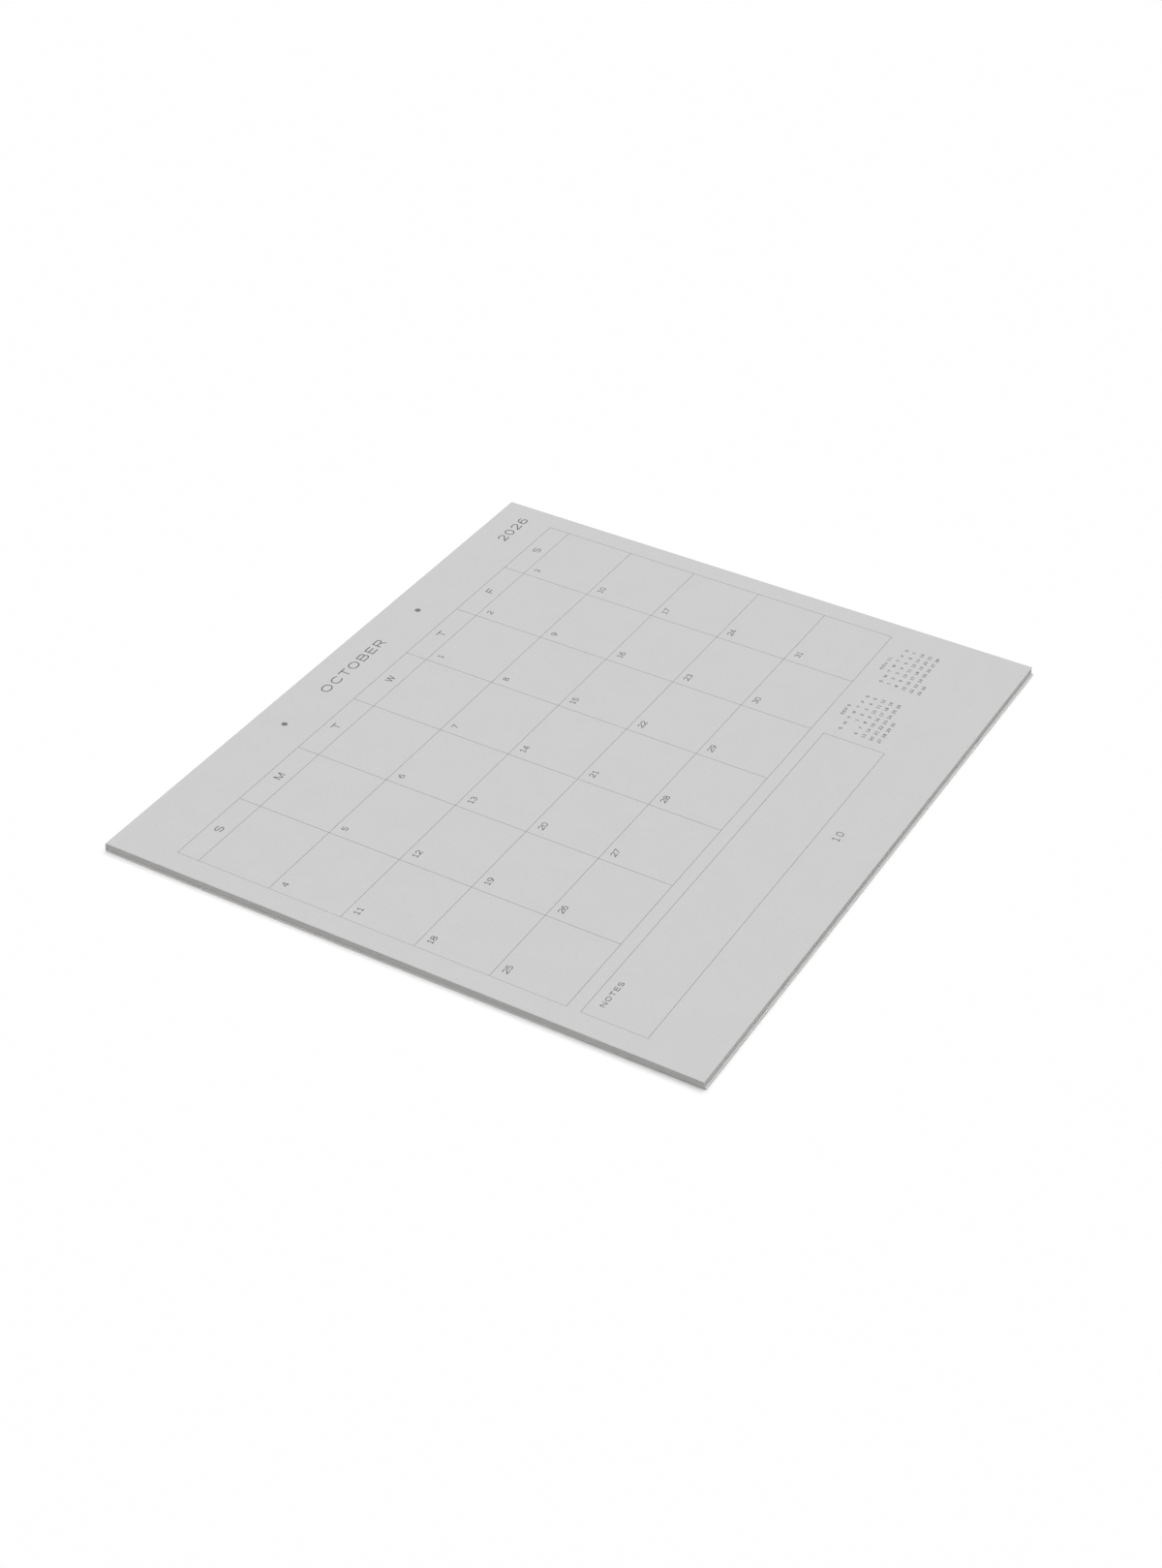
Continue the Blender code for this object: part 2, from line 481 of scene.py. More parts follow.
def thicken(flat, quads, top, thickness):
    """Upper faces at top, the same faces turned over a thickness below, a wall on each rim edge."""
    count = len(flat)
    upper = np.column_stack([flat, np.full(count, top)])
    lower = np.column_stack([flat, np.full(count, top - thickness)])
    edges = np.concatenate([quads[:, [i, (i + 1) % 4]] for i in range(4)])
    forward = edges[:, 0].astype(np.int64) * count + edges[:, 1]
    backward = edges[:, 1].astype(np.int64) * count + edges[:, 0]
    rim = edges[~np.isin(forward, backward)]
    walls = np.column_stack([rim[:, 0], rim[:, 0] + count, rim[:, 1] + count, rim[:, 1]])
    faces = [quads, quads[:, ::-1] + count, walls]
    wall_kinds = np.where(in_hole_block(flat[rim].mean(axis=1)), DRILLED_WALL, CUT_WALL)
    kinds = np.concatenate([np.full(2 * len(quads), FACE), wall_kinds])
    return np.concatenate([upper, lower]), faces, kinds


print("kinds of face", FACE, CUT_WALL, DRILLED_WALL)

# %% [markdown]
# How evenly the pad is trimmed
#
# In the photograph the stack's sides aren't clean walls. A guillotine's knife bends a little in
# thick stock, and the sheets creep under the clamp, so the layers end a few tenths of a millimetre
# in or out of line, and by other amounts along each edge. Below the top sheet's lower edge lies a
# set of sheets that end short, then a set that ends further out, whose ledge shows as a light line,
# then the board. On the left side the lower layers draw in towards both corners. A small table
# for each edge says how far a layer stands out past the page's rectangle at six stations along it,
# and the layers and places between are read off in straight lines.
#
# The stack is also pressed tighter at its lower left corner, where it is thinner. Every height
# under the page's surface shrinks there by a bell-shaped share.

# %% Trim table
BOARD_LAYER = len(SHEET_NODES)
STATIONS = (0.0, 0.15, 0.3, 0.5, 0.75, 1.0)  # shares of an edge, from the left or the bound edge
# Layer, counted from the top sheet as 0: stand-out in mm at each station
LEFT_EDGE = {
    0: (0.0, 0.0, -0.05, -0.05, 0.05, 0.0),
    1: (-0.1, -0.08, -0.12, -0.12, -0.1, -0.15),
    11: (-0.45, -0.3, -0.2, -0.2, -0.5, -0.85),
    12: (-0.3, 0.05, 0.12, 0.03, -0.55, -1.1),
}
RIGHT_EDGE = {layer: (out,) * len(STATIONS) for layer, out in ((0, 0.0), (11, 0.05), (12, 0.45))}
FOOT_EDGE = {
    0: (-0.6, -0.5, -0.36, -0.3, -0.25, -0.25),
    1: (-0.55, -0.66, -0.66, -0.55, -0.5, -0.4),
    7: (-0.55, -0.68, -0.68, -0.6, -0.52, -0.42),
    8: (-0.5, -0.48, -0.4, -0.32, -0.28, -0.22),
    11: (-0.48, -0.48, -0.4, -0.32, -0.28, -0.22),
    12: (0.1, 0.25, 0.42, 0.55, 0.7, 0.75),
}
print("the board stands out by up to", max(FOOT_EDGE[BOARD_LAYER]), "mm at the foot")

# %% Trim
SIDE_MARGIN = 9.0 * MM  # only points this close to an edge move with it
UNEVEN = 0.02 * MM
WAVE_LENGTHS = np.array([0.43, 0.19, 0.083])  # in metres
WAVE_SHARES = np.array([0.5, 0.3, 0.2])
PRESSED = 0.08  # the share by which the stack is thinner at its lower left corner
PRESSED_REACH = 65 * MM
trim = np.random.default_rng(12)


def edge_at(table, layer, share):
    """Stand-out in metres: linear between the table's layers, and linear between its stations."""
    row = [np.interp(layer, list(table), column) for column in zip(*table.values())]
    return np.interp(share, STATIONS, row) * MM


def wander(along):
    """A slow wave along an edge: three sines of unlike length with drawn phases."""
    phases = trim.uniform(0, 2 * np.pi, len(WAVE_LENGTHS))
    waves = np.sin(2 * np.pi * along[:, None] / WAVE_LENGTHS + phases) * WAVE_SHARES
    return UNEVEN * waves.sum(axis=1)


def trimmed(flat, layer):
    """Points near an edge move out by its stand-out plus a wave, and those further in stay."""
    x, y = flat.T
    down = (BOUND_Y - y) / (BOUND_Y - FOOT_Y)
    left = edge_at(LEFT_EDGE, layer, down) + wander(y)
    right = edge_at(RIGHT_EDGE, layer, down) + wander(y)
    foot = edge_at(FOOT_EDGE, layer, (x + HALF_WIDTH) / (2 * HALF_WIDTH)) + wander(x)
    near_side = smooth_step(np.abs(x), HALF_WIDTH - SIDE_MARGIN, HALF_WIDTH)
    near_foot = smooth_step(-y, -FOOT_Y - SIDE_MARGIN, -FOOT_Y)
    return np.column_stack([x + near_side * np.where(x < 0, -left, right), y - near_foot * foot])


def pressed(points):
    """z nears the page's surface by PRESSED times exp(-d^2 / 2 reach^2), d away from the corner."""
    away = points[:, :2] - (-HALF_WIDTH, FOOT_Y)
    share = PRESSED * np.exp(-np.sum(away * away, axis=1) / (2 * PRESSED_REACH**2))
    settled = points.copy()
    settled[:, 2] += np.minimum(points[:, 2] - PAGE_TOP, 0) * -share
    return settled


print("the stack is pressed by", PRESSED, "of its height at the lower left corner")

# %% [markdown]
# Cutting the sheets
#
# Each sheet takes the place of its node in the frame. In the frame's joints every sheet hangs on
# the one under it, and the last one on the pad.


def cut_sheet(number, node):
    """The drilled rectangle, trimmed, thickened between its node's lower and upper face."""
    low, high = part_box(node)
    flat = trimmed(outline, number)
    points, faces, kinds = thicken(flat, cells, high[2], high[2] - low[2])
    name = node.replace("sheet_", "page_")
    sheet = make_piece(name, pressed(points), faces, [paper, cut_paper, drilled_fuzz_and_painted_light], kinds)
    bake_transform(sheet)
    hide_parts(node)
    return sheet


sheets = [cut_sheet(number, node) for number, node in enumerate(SHEET_NODES)]
print("sheets cut", len(sheets), "triangles each", 2 * len(sheets[0].data.polygons))

# %% [markdown]
# The backing board
#
# The board is cut and drilled together with the sheets, so it is made the same way, as the layer
# under the last of them. It doesn't bend: it rides on the pad's own body.

# %% Backing board
board_low, board_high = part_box("backing_board")
flat = trimmed(outline, BOARD_LAYER)
points, faces, kinds = thicken(flat, cells, board_high[2], board_high[2] - board_low[2])
# The board's hole walls take the same pale drilled finish, with its painted light.
board_finishes = [board_finish, board_edge, drilled_fuzz_and_painted_light]
board = make_piece("back_of_the_pad", pressed(points), faces, board_finishes, kinds)
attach(board, "pad")
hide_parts("backing_board")
print("board thickness in mm", round((board_high[2] - board_low[2]) / MM, 2))

# %% [markdown]
# Padding glue
#
# Padding glue is a water-borne resin that is brushed in two coats along the clamped edge of the
# stack and dries to a rubbery, slightly milky film. The brush leaves long shallow ridges along the
# edge. The film is a profile carried along the edge: flat against the paper, a low rounded back,
# and its thickness changes a little from place to place.

# %% Glue finish
BRISTLE_MM = 0.9  # from one brush mark to the next
BRUSHED_LONG = 0.06  # the marks' width as a share of their length
RIDGE_DEPTH_MM = 0.08

glue_finish, tree, shader, place = new_material("padding glue, brushed and dried")
drawn_out = add_node(tree, "Mapping", {"Vector": place, "Scale": (BRUSHED_LONG, 1.0, 1.0)})
mark_look = {"Vector": drawn_out.outputs["Vector"], "Scale": per_mm(BRISTLE_MM), "Detail": 3.0}
marks = add_node(tree, "TexNoise", mark_look).outputs["Fac"]
milk_stops = noise_stops(linear("#C9C8C2"), linear("#DAD8D0"))
milk = add_node(tree, "ValToRGB", {0: marks}, stops=milk_stops)
tree.links.new(milk.outputs["Color"], shader.inputs["Base Color"])
relief = {"Height": marks, "Strength": 0.6, "Distance": RIDGE_DEPTH_MM * MM}
ridges = add_node(tree, "Bump", relief)
tree.links.new(ridges.outputs["Normal"], shader.inputs["Normal"])
shader.inputs["Roughness"].default_value = 0.38
shader.inputs["IOR"].default_value = 1.48  # a vinyl resin
shader.inputs["Subsurface Weight"].default_value = 0.25
shader.inputs["Subsurface Radius"].default_value = (1.0, 0.9, 0.7)
shader.inputs["Subsurface Scale"].default_value = 0.4 * MM
print("brush marks", round(BRISTLE_MM / BRUSHED_LONG), "mm long")

# %% Glue film
FILM_STEPS = 180  # along the edge
BACK_STEPS = 16  # across the rounded back
BRUSH_RIDGES = 5
RIM_FILM, FULL_FILM = 0.2 * MM, 0.56 * MM
MEAN_SHARE = 0.92  # of the full film, which leaves room for ridges and swells
RIDGE_SHARE = 0.05
FADING = 0.031  # the ridges fade and return along the edge over this many metres
SWELLS = ((0.06, 0.023, 1.3), (0.04, 0.0071, 0.0))  # a share, metres along the edge, a phase
glue_low, glue_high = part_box("binding_glue")
along = np.linspace(glue_low[0], glue_high[0], FILM_STEPS + 1)
back = np.linspace(0, 1, BACK_STEPS + 1)


def brushed(along, back):
    """The rim plus a flattened half sine, times a mean share plus ridges and a swell."""
    along, across = along[:, None], np.sin(np.pi * back)[None, :]
    bulge = RIM_FILM + (FULL_FILM - RIM_FILM) * across**0.8
    fade = 0.6 + 0.4 * np.sin(along / FADING)
    ridge = RIDGE_SHARE * np.sin(2 * np.pi * back * BRUSH_RIDGES) * fade
    swell = sum(share * np.sin(along / reach + phase) for share, reach, phase in SWELLS)
    return bulge * (MEAN_SHARE + ridge + swell * across)


film = np.minimum(brushed(along, back), glue_high[1] - glue_low[1])
height = glue_low[2] + (glue_high[2] - glue_low[2]) * back
loop = BACK_STEPS + 3  # the back's points and two more on the flat side, against the paper
ring = np.zeros((FILM_STEPS + 1, loop, 3))
ring[:, :, 0] = along[:, None]
ring[:, : BACK_STEPS + 1, 1] = glue_low[1] + film
ring[:, : BACK_STEPS + 1, 2] = height
ring[:, BACK_STEPS + 1 :, 1] = glue_low[1]
ring[:, BACK_STEPS + 1, 2] = glue_high[2]
ring[:, BACK_STEPS + 2, 2] = glue_low[2]
i, j = np.meshgrid(np.arange(FILM_STEPS), np.arange(loop), indexing="ij")
here, around = (i * loop + j).ravel(), (i * loop + (j + 1) % loop).ravel()
skin = np.column_stack([here, here + loop, around + loop, around])[:, ::-1]
first_cap = np.arange(loop)[None, :]
last_cap = (FILM_STEPS * loop + np.arange(loop))[None, ::-1]
faces = [skin, first_cap, last_cap]
glue = make_piece("padding_glue_film", ring.reshape(-1, 3), faces, [glue_finish])
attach(glue, "pad")
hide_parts("binding_glue")
print("glue film from", round(film.min() / MM, 2), "to", round(film.max() / MM, 2), "mm thick")

# %% [markdown]
# Printing ink
#
# The months are printed in one dark grey, matt, on paper that drinks some of it in, so a printed
# line isn't quite even. The ink is a thin film of its own that lies on the paper. A picture could
# hold the print instead, but a film has crisp edges at any distance. Real ink is a few
# thousandths of a millimetre thick, and here it is a little more, so that it stays clear of the
# paper under it.

# %% Ink
SOAK_MM = 0.5  # the size of the places where the paper drinks more or less

ink_finish, tree, shader, place = new_material("printing ink, matt grey")
soak_look = {"Vector": place, "Scale": per_mm(SOAK_MM), "Detail": 3.0}
soak = add_node(tree, "TexNoise", soak_look).outputs["Fac"]
ink_stops = noise_stops(linear("#525252"), linear("#606060"))
tone = add_node(tree, "ValToRGB", {0: soak}, stops=ink_stops)
tree.links.new(tone.outputs["Color"], shader.inputs["Base Color"])
shader.inputs["Roughness"].default_value = 0.8
shader.inputs["Specular IOR Level"].default_value = DULL
print("ink soaks in over", SOAK_MM, "mm")

# %% [markdown]
# Strokes
#
# The lettering is a wide, even-stroked sans, as on many plain calendars. Each letter is drawn
# here from a few strokes on a unit square, one cap height tall. A stroke is a line of points with
# an offset to its left at each point. The film strip carries a box section along it: bottom left,
# top left, top right, bottom right.


# %% Film strips
SQUARED = 0.88  # the power that makes an oval a little squarer, 1 for a true one


def film_strip(points, offsets, closed=False):
    """Point i gives four corners: points + or - offsets, each at height 0 and 1."""
    points, offsets = np.asarray(points, float), np.asarray(offsets, float)
    count = len(points)
    corners = np.zeros((count, 4, 3))
    corners[:, :2, :2] = (points + offsets)[:, None]
    corners[:, 2:, :2] = (points - offsets)[:, None]
    corners[:, 1:3, 2] = 1
    i, j = np.meshgrid(np.arange(count if closed else count - 1), np.arange(4), indexing="ij")
    here, beside = i * 4 + j, i * 4 + (j + 1) % 4
    ahead = (i + 1) % count * 4
    faces = np.stack([here, beside, ahead + (j + 1) % 4, ahead + j], axis=-1).reshape(-1, 4)
    if not closed:
        last = count * 4 - 4
        ends = [[3, 2, 1, 0], [last, last + 1, last + 2, last + 3]]
        faces = np.concatenate([faces, ends])
    return corners.reshape(-1, 3), faces


def side_offsets(points, width, closed):
    """Half the width to the left, mitred: width times the two normals' sum over its square."""
    step = np.diff(points, axis=0, append=points[:1])
    if not closed:
        step[-1] = step[-2]
    normal = np.column_stack([-step[:, 1], step[:, 0]])
    normal /= np.linalg.norm(step, axis=1, keepdims=True)
    before = np.roll(normal, 1, axis=0)
    if not closed:
        before[0] = normal[0]
    both = normal + before
    return width * both / np.sum(both * both, axis=1, keepdims=True)


def arc(cx, cy, rx, ry, start, end, steps):
    """Centre plus (rx cos a, ry sin a), with the cosine and the sine to the power SQUARED."""
    count = max(3, math.ceil(abs(end - start) / 360 * steps)) + 1
    a = np.radians(np.linspace(start, end, count))
    turned = np.column_stack([np.cos(a), np.sin(a)])
    return (cx, cy) + np.sign(turned) * np.abs(turned) ** SQUARED * (rx, ry)


print("an O has", len(arc(0, 0, 1, 1, 0, 360, 32)) - 1, "points")

# %% [markdown]
# The alphabet
#
# A stem stands, a bar lies, a slant leans with its ends cut level, a bend follows arcs, a bowl is
# the round part of a D and a ring is a closed oval. The table gives each sign's width and its
# strokes. All lengths are shares of the cap height: w is the stroke's width, h is half of it and t
# is the middle line of a stroke that touches the top.
#
# Signs that stand side by side need unlike room. A straight side asks for a little more than a
# round one, a T's open sides for less, and the narrow 1 stands in nearly the room of the others.


# %% Letters and digits
def make_alphabet(w, steps):
    """The table of signs for one stroke width: sign -> (width, list of film strips)."""
    h, t = w / 2, 1 - w / 2
    mid = 0.53  # the height of a B's or an E's middle
    r = (1 - w) / 4  # the radius of an S's halves

    def stem(x, low=0.0, high=1.0):
        return film_strip([(x, low), (x, high)], [(-h, 0)] * 2)

    def bar(y, left, right):
        return film_strip([(left, y), (right, y)], [(0, h)] * 2)

    def slant(x0, y0, x1, y1):
        reach = h * math.hypot(x1 - x0, y1 - y0) / (y1 - y0)
        return film_strip([(x0, y0), (x1, y1)], [(-reach, 0)] * 2)

    def bend(*parts, closed=False):
        points = np.concatenate([np.asarray(part, float) for part in parts])
        apart = np.linalg.norm(np.diff(points, axis=0), axis=1) > 1e-6
        points = points[np.concatenate([[True], apart])]
        return film_strip(points, side_offsets(points, w, closed), closed)

    def turn(*shape):
        return arc(*shape, steps)

    def ring(cx, cy, rx, ry):
        return bend(turn(cx, cy, rx - h, ry - h, 0, 360)[:-1], closed=True)

    def bowl(low, high, cx, right):
        middle, ry = (low + high) / 2, (high - low) / 2
        return bend([(h, high)], turn(cx, middle, right - h - cx, ry, 90, -90), [(h, low)])

    def half_turned(strip, width):
        points, faces = strip
        return points * (-1, -1, 1) + (width, 1, 0), faces

    tail = bend(turn(0.52, 0.34, 0.52 - h, t - 0.34, 180, 58))
    return {
        "A": (1.22, [slant(0.07, 0, 0.61, 1), slant(1.15, 0, 0.61, 1), bar(0.3, 0.23, 0.99)]),
        "B": (1.11, [stem(h), bowl(mid, t, 0.66, 1.04), bowl(h, mid, 0.7, 1.11)]),
        "C": (1.22, [bend(turn(0.64, 0.5, 0.64 - h, t - 0.5, 35, 325))]),
        "D": (1.17, [stem(h), bowl(h, t, 0.52, 1.17)]),
        "E": (0.99, [stem(h), bar(t, h, 0.99), bar(mid, h, 0.93), bar(h, h, 0.99)]),
        "F": (0.98, [stem(h), bar(t, h, 0.98), bar(0.48, h, 0.9)]),
        "G": (1.26, [bend(turn(0.64, 0.5, 0.62 - h, t - 0.5, 38, 352)), bar(0.46, 0.74, 1.26)]),
        "H": (1.16, [stem(h), stem(1.16 - h), bar(mid, h, 1.16 - h)]),
        "I": (w, [stem(h)]),
        "J": (0.86, [bend([(0.86 - h, 1)], turn(0.43, 0.34, 0.43 - h, 0.34 - h, 0, -168))]),
        "L": (0.97, [stem(h), bar(h, h, 0.97)]),
        "M": (1.21, [stem(h), stem(1.21 - h), slant(0.605, 0, 0.07, 1), slant(0.605, 0, 1.14, 1)]),
        "N": (1.2, [stem(h), stem(1.2 - h), slant(1.13, 0, 0.07, 1)]),
        "O": (1.26, [ring(0.63, 0.5, 0.63, 0.5)]),
        "P": (1.06, [stem(h), bowl(0.42, t, 0.62, 1.06)]),
        "R": (1.09, [stem(h), bowl(0.44, t, 0.64, 1.06), slant(1.02, 0, 0.6, 0.44)]),
        "S": (1.08, [bend(turn(0.54, t - r, 0.54 - h, r, 25, 270),
                          turn(0.54, h + r, 0.54 - h, r, 90, -155))]),
        "T": (1.19, [bar(t, 0, 1.19), stem(0.595)]),
        "U": (1.16, [bend([(h, 1)], turn(0.58, 0.44, 0.58 - h, 0.44 - h, 180, 360),
                          [(1.16 - h, 1)])]),
        "V": (1.2, [slant(0.6, 0, 0.07, 1), slant(0.6, 0, 1.13, 1)]),
        "W": (1.38, [slant(0.38, 0, 0.07, 1), slant(0.38, 0, 0.69, 1),
                     slant(1.0, 0, 0.69, 1), slant(1.0, 0, 1.31, 1)]),
        "Y": (1.17, [slant(0.585, 0.42, 0.07, 1), slant(0.585, 0.42, 1.1, 1),
                     stem(0.585, 0, 0.46)]),
        " ": (0.3, []),
        "0": (0.92, [ring(0.46, 0.5, 0.46, 0.5)]),
        "1": (0.64, [stem(0.36), bar(h, 0.08, 0.64), slant(0.07, 0.74, 0.33, 1)]),
        "2": (0.92, [bend(turn(0.46, 0.69, 0.44 - h, 0.31 - h, 165, -32), [(w, w)]),
                     bar(h, 0, 0.92)]),
        "3": (0.92, [bend(turn(0.44, (t + mid) / 2, 0.4 - h, (t - mid) / 2, 152, -90)),
                     bend(turn(0.44, (mid + h) / 2, 0.46 - h, (mid - h) / 2, 90, -152))]),
        "4": (0.92, [slant(0.08, 0.27, 0.62, 1), bar(0.27, 0.02, 0.92), stem(0.68)]),
        "5": (0.92, [bar(t, 0.15, 0.84), slant(0.13, 0.46, 0.19, 1),
                     bend(turn(0.45, 0.32, 0.46 - h, 0.32 - h, 142, -152))]),
        "6": (0.92, [ring(0.46, 0.32, 0.46, 0.32), tail]),
        "7": (0.9, [bar(t, 0.02, 0.9), slant(0.3, 0, 0.82, 1)]),
        "8": (0.92, [ring(0.46, 0.735, 0.39, 0.265), ring(0.46, 0.28, 0.46, 0.28)]),
        "9": (0.92, [half_turned(ring(0.46, 0.32, 0.46, 0.32), 0.92), half_turned(tail, 0.92)]),
    }


print("signs", len(make_alphabet(0.1, 32)))

# %% Room between signs
STRAIGHT, OPEN = 0.06, -0.07  # the extra room of a straight side and of a T's open side
ROOM_LEFT = {**dict.fromkeys("BDEFHILMNPRU", STRAIGHT), "C": 0.03, "T": OPEN, "1": 0.13}
ROOM_RIGHT = {**dict.fromkeys("HIMNU", STRAIGHT), "O": 0.03, "T": OPEN, "1": 0.1}
alphabets = {}


def signs_for(weight, steps):
    """Each stroke width and fineness is worked out once."""
    if (weight, steps) not in alphabets:
        alphabets[weight, steps] = make_alphabet(weight, steps)
    return alphabets[weight, steps]


print("rooms for a T", ROOM_LEFT["T"], "and for a 1", ROOM_LEFT["1"], "in cap heights")

# %% [markdown]
# Setting type
#
# Type is set in page millimetres: x from the page's left edge, y up from the bound edge, so the
# page lies at negative y. A line of type is measured first, then placed by its left end, its
# middle or its right end. Strokes that cross in one sign would share a plane, so each stroke's
# film is a shade lower than the one before.

# %% Type
FILM = 0.02  # the ink film in mm
STEP_DOWN = 0.03  # the share of the film by which each stroke of a sign is lower
SHARE_BEFORE = {"left": 0.0, "middle": 0.5, "right": 1.0}


def line_up(text, gap, stretch, signs):
    """Each sign's left end and the line's width: widths, rooms and gaps added, in cap heights."""
    ends, x = [], -ROOM_LEFT.get(text[0], 0)
    for sign in text:
        x += ROOM_LEFT.get(sign, 0)
        ends.append(x)
        x += signs[sign][0] * stretch + ROOM_RIGHT.get(sign, 0) + gap
    return ends, x - gap - ROOM_RIGHT.get(text[-1], 0)


def set_type(page, text, x, baseline, cap, weight, gap, align="middle", stretch=1.0, steps=28):
    """Adds each sign's strips to the page, scaled by the cap height and moved to its place."""
    signs = signs_for(weight, steps)
    ends, width = line_up(text, gap, stretch, signs)
    x -= SHARE_BEFORE[align] * width * cap
    if align == "left":
        x += ROOM_LEFT.get(text[0], 0) * cap
    for sign, end in zip(text, ends):
        for layer, (points, faces) in enumerate(signs[sign][1]):
            size = (cap * stretch, cap, FILM * (1 - STEP_DOWN * layer))
            page.append((points * size + (x + end * cap, baseline, 0), faces))


def rule(page, x0, y0, x1, y1, width, layer=0):
    """A straight printed line: one strip, half its width to either side."""
    length = math.hypot(x1 - x0, y1 - y0)
    half = (-(y1 - y0) / length * width / 2, (x1 - x0) / length * width / 2)
    points, faces = film_strip([(x0, y0), (x1, y1)], [half] * 2)
    page.append((points * (1, 1, FILM * (1 - STEP_DOWN * layer)), faces))


print("kinds of alignment", len(SHARE_BEFORE))

# %% [markdown]
# The page
#
# All months share one layout, measured on the photograph: the month and the year at the top, a
# band of weekday initials, seven columns of day cells, a box for notes, two small tables for the
# months on either side, and the month's number at the foot. Python's calendar says on which
# weekday each month starts. A month that touches six weeks gets six lower rows in the same grid.

# %% Layout
FIRST_YEAR, FIRST_MONTH = 2026, 10
PAGE_MIDDLE = HALF_WIDTH / MM
GRID_LEFT, COLUMN, GRID_RIGHT = 12.4, 50.8, 368.0
BAND_TOP, BAND_FOOT, GRID_FOOT = -33.0, -45.2, -245.4
NOTES_RIGHT, NOTES_TOP, NOTES_FOOT = 266.4, -252.7, -286.7
RULE = 0.17
FAINT_RULE = 0.11  # the rules nearest the page's left edge
FEWEST_ROWS = 5
WEEKDAYS = "SMTWTFS"
MONTHS = [name.upper() for name in calendar.month_name]
weeks_of = calendar.Calendar(firstweekday=6).monthdayscalendar


def rule_grid(page, rows):
    """Rows across, columns down, and the notes box under them."""
    for y in [BAND_TOP, *np.linspace(BAND_FOOT, GRID_FOOT, rows + 1)]:
        rule(page, GRID_LEFT, y, GRID_RIGHT, y, RULE)
    for column in range(len(WEEKDAYS) + 1):
        x = GRID_LEFT + COLUMN * column
        rule(page, x, GRID_FOOT, x, BAND_TOP, FAINT_RULE if column == 0 else RULE, layer=1)
    for y in (NOTES_TOP, NOTES_FOOT):
        rule(page, GRID_LEFT, y, NOTES_RIGHT, y, RULE)
    for x in (GRID_LEFT, NOTES_RIGHT):
        rule(page, x, NOTES_FOOT, x, NOTES_TOP, FAINT_RULE if x == GRID_LEFT else RULE, layer=1)


print("row height with five weeks", round((BAND_FOOT - GRID_FOOT) / FEWEST_ROWS, 2), "mm")

# %% [markdown]
# Sizes of type
#
# Each kind of words or numbers has its cap height in millimetres, and its stroke and gap as shares
# of that. They were measured on the photograph in the same way as the rules. Small type has a
# heavier stroke, as it needs to be legible, and fewer steps in its curves. A line of type stands
# on its baseline, and each place below is that line's height and its start, middle or end.

# %% Type sizes
MONTH_TYPE = dict(cap=5.35, weight=0.11, gap=0.375, steps=36)
YEAR_TYPE = dict(cap=5.38, weight=0.108, gap=0.36, align="right", stretch=1.07, steps=36)
WEEKDAY_TYPE = dict(cap=4.06, weight=0.116, gap=0.3, steps=32)
DAY_TYPE = dict(cap=3.17, weight=0.124, gap=0.08, align="left", steps=24)
NOTES_TYPE = dict(cap=2.65, weight=0.14, gap=0.395, align="left", steps=24)
FOOT_TYPE = dict(cap=3.9, weight=0.11, gap=0.41, stretch=0.93, steps=28)
SMALL_TYPE = dict(cap=1.75, weight=0.166, gap=0.2, steps=14)
SMALL_TITLE_TYPE = {**SMALL_TYPE, "gap": 0.34}
month_signs = signs_for(MONTH_TYPE["weight"], MONTH_TYPE["steps"])
month_width = line_up("OCTOBER", MONTH_TYPE["gap"], 1.0, month_signs)[1] * MONTH_TYPE["cap"]
print("OCTOBER is", round(month_width, 1), "mm wide")

# %% Places of type
MONTH_MIDDLE, MONTH_LINE = PAGE_MIDDLE - 0.35, -18.65
YEAR_END, YEAR_LINE = 368.25, -18.85
WEEKDAY_LINE = -41.025
DAY_IN, DAY_DOWN = 5.0, 6.47  # from a cell's upper left corner to its number's start
NOTES_START, NOTES_LINE = 20.36, -260.35
FOOT_MIDDLE, FOOT_LINE = PAGE_MIDDLE + 0.1, -297.95
SMALL_BEFORE, SMALL_AFTER = (274.95, 5.63), (325.65, 5.65)  # the first column and the pitch
SMALL_TITLE_LINE, SMALL_WEEKDAY_LINE = -254.08, -258.88
SMALL_FIRST_LINE, SMALL_ROW = -263.28, 4.4
print("lines of a small month", SMALL_ROW, "mm apart")


# %% One month
def set_small_month(page, year, month, left, pitch):
    """A title over seven narrow columns of initials and numbers."""
    title = f"{MONTHS[month][:3]} {month}"
    set_type(page, title, left + 3 * pitch, SMALL_TITLE_LINE, **SMALL_TITLE_TYPE)
    for day, initial in enumerate(WEEKDAYS):
        set_type(page, initial, left + pitch * day, SMALL_WEEKDAY_LINE, **SMALL_TYPE)
    for row, week in enumerate(weeks_of(year, month)):
        line = SMALL_FIRST_LINE - SMALL_ROW * row
        for day, number in enumerate(week):
            if number:
                set_type(page, str(number), left + pitch * day, line, **SMALL_TYPE)


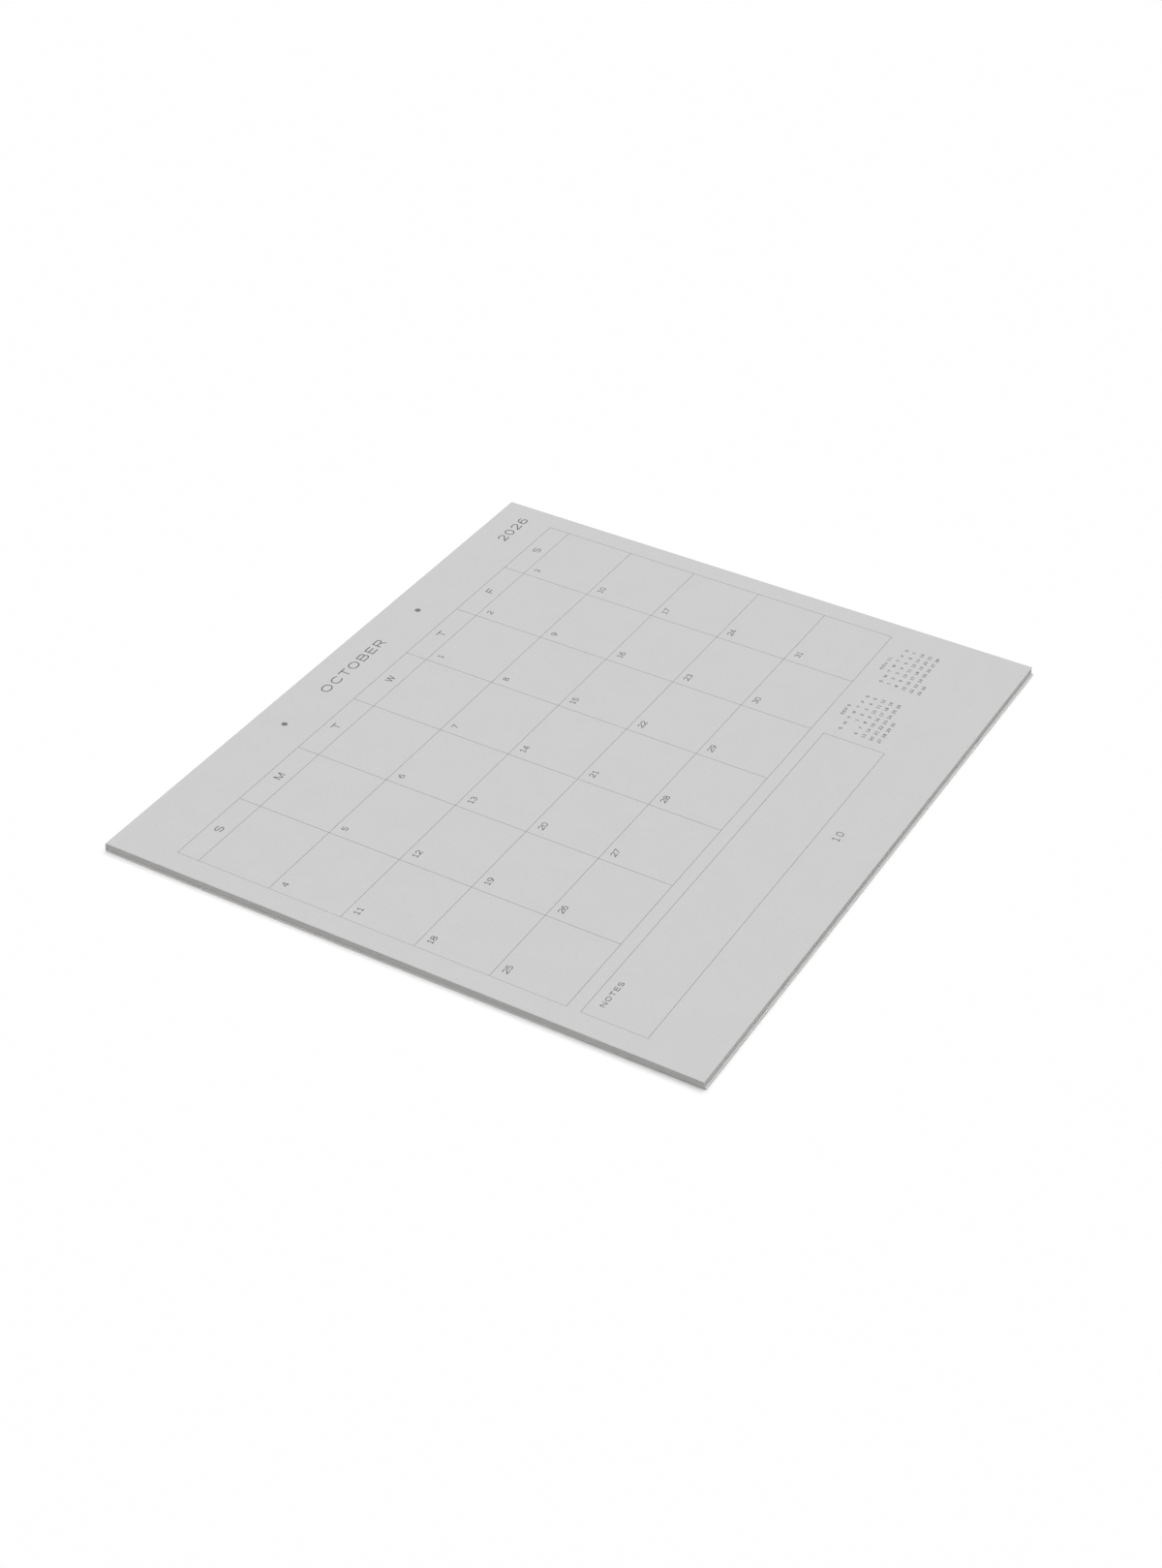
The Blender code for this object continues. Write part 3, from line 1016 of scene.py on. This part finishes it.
def set_page(year, month):
    """Everything that is printed on one month's sheet, as a list of film strips."""
    page = []
    weeks = weeks_of(year, month)
    rows = max(FEWEST_ROWS, len(weeks))
    rule_grid(page, rows)
    set_type(page, MONTHS[month], MONTH_MIDDLE, MONTH_LINE, **MONTH_TYPE)
    set_type(page, str(year), YEAR_END, YEAR_LINE, **YEAR_TYPE)
    for day, initial in enumerate(WEEKDAYS):
        set_type(page, initial, GRID_LEFT + COLUMN * (day + 0.5), WEEKDAY_LINE, **WEEKDAY_TYPE)
    row_height = (BAND_FOOT - GRID_FOOT) / rows
    for row, week in enumerate(weeks):
        line = BAND_FOOT - row_height * row - DAY_DOWN
        for day, number in enumerate(week):
            if number:
                set_type(page, str(number), GRID_LEFT + COLUMN * day + DAY_IN, line, **DAY_TYPE)
    set_type(page, "NOTES", NOTES_START, NOTES_LINE, **NOTES_TYPE)
    set_type(page, str(month), FOOT_MIDDLE, FOOT_LINE, **FOOT_TYPE)
    before, after = (month - 2) % 12 + 1, month % 12 + 1
    set_small_month(page, year - (month == 1), before, *SMALL_BEFORE)
    set_small_month(page, year + (month == 12), after, *SMALL_AFTER)
    return page


print("strips on the first page", len(set_page(FIRST_YEAR, FIRST_MONTH)))

# %% [markdown]
# Printing the twelve months
#
# All strips of one month become one mesh that rides with its sheet. The print begins well below
# the bend, so the ink stays flat on the paper in every pose.

# %% Print
INK_LIFT = 0.001 * MM  # keeps the ink's underside off the paper's face


def print_month(node):
    """Joins the strips: faces of each are shifted by the number of points before it."""
    month = MONTHS.index(node.split("_")[2].upper())
    page = set_page(FIRST_YEAR + (month < FIRST_MONTH), month)
    starts = np.cumsum([0] + [len(points) for points, faces in page[:-1]])
    points = np.concatenate([points for points, faces in page]) * MM
    faces = np.concatenate([faces + start for (_, faces), start in zip(page, starts)])
    points += (-HALF_WIDTH, BOUND_Y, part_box(node)[1][2] + INK_LIFT)
    name = node.replace("sheet_", "print_")
    ink = make_piece(name, pressed(points), [faces], [ink_finish], smooth_below=1)
    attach(ink, node)
    return ink


prints = [print_month(node) for node in SHEET_NODES]
print("print triangles", sum(2 * len(ink.data.polygons) for ink in prints))
